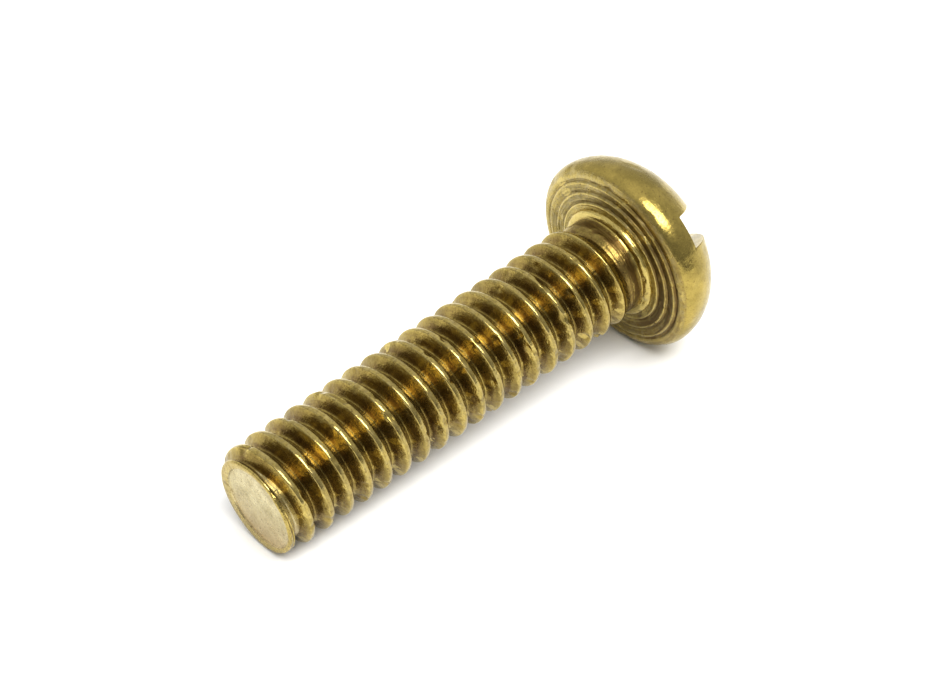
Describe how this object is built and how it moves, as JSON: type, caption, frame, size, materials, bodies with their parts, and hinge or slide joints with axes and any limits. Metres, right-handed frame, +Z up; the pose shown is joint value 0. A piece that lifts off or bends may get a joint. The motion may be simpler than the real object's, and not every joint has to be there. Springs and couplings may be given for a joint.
{
  "type": "machine screw",
  "caption": "Slotted round head machine screw in brass, with a right hand thread up to a short neck, a flat end, and turned rings under the head.",
  "frame": {"origin": "middle of the footprint box, on the surface that the screw lies on", "axes": "+X runs from the tip towards the head in plan and is the longest extent, +Z is up; the screw's own axis rises about 6 degrees from tip to head, because it lies on its thread and on the rim of its wider head"},
  "size_m": [0.0294, 0.0112, 0.0111],
  "materials": {
    "brass": "bright turned brass, lightly tarnished to olive and brown in the thread roots"
  },
  "bodies": {
    "root": {"machine_screw": "brass"}
  },
  "joints": []
}
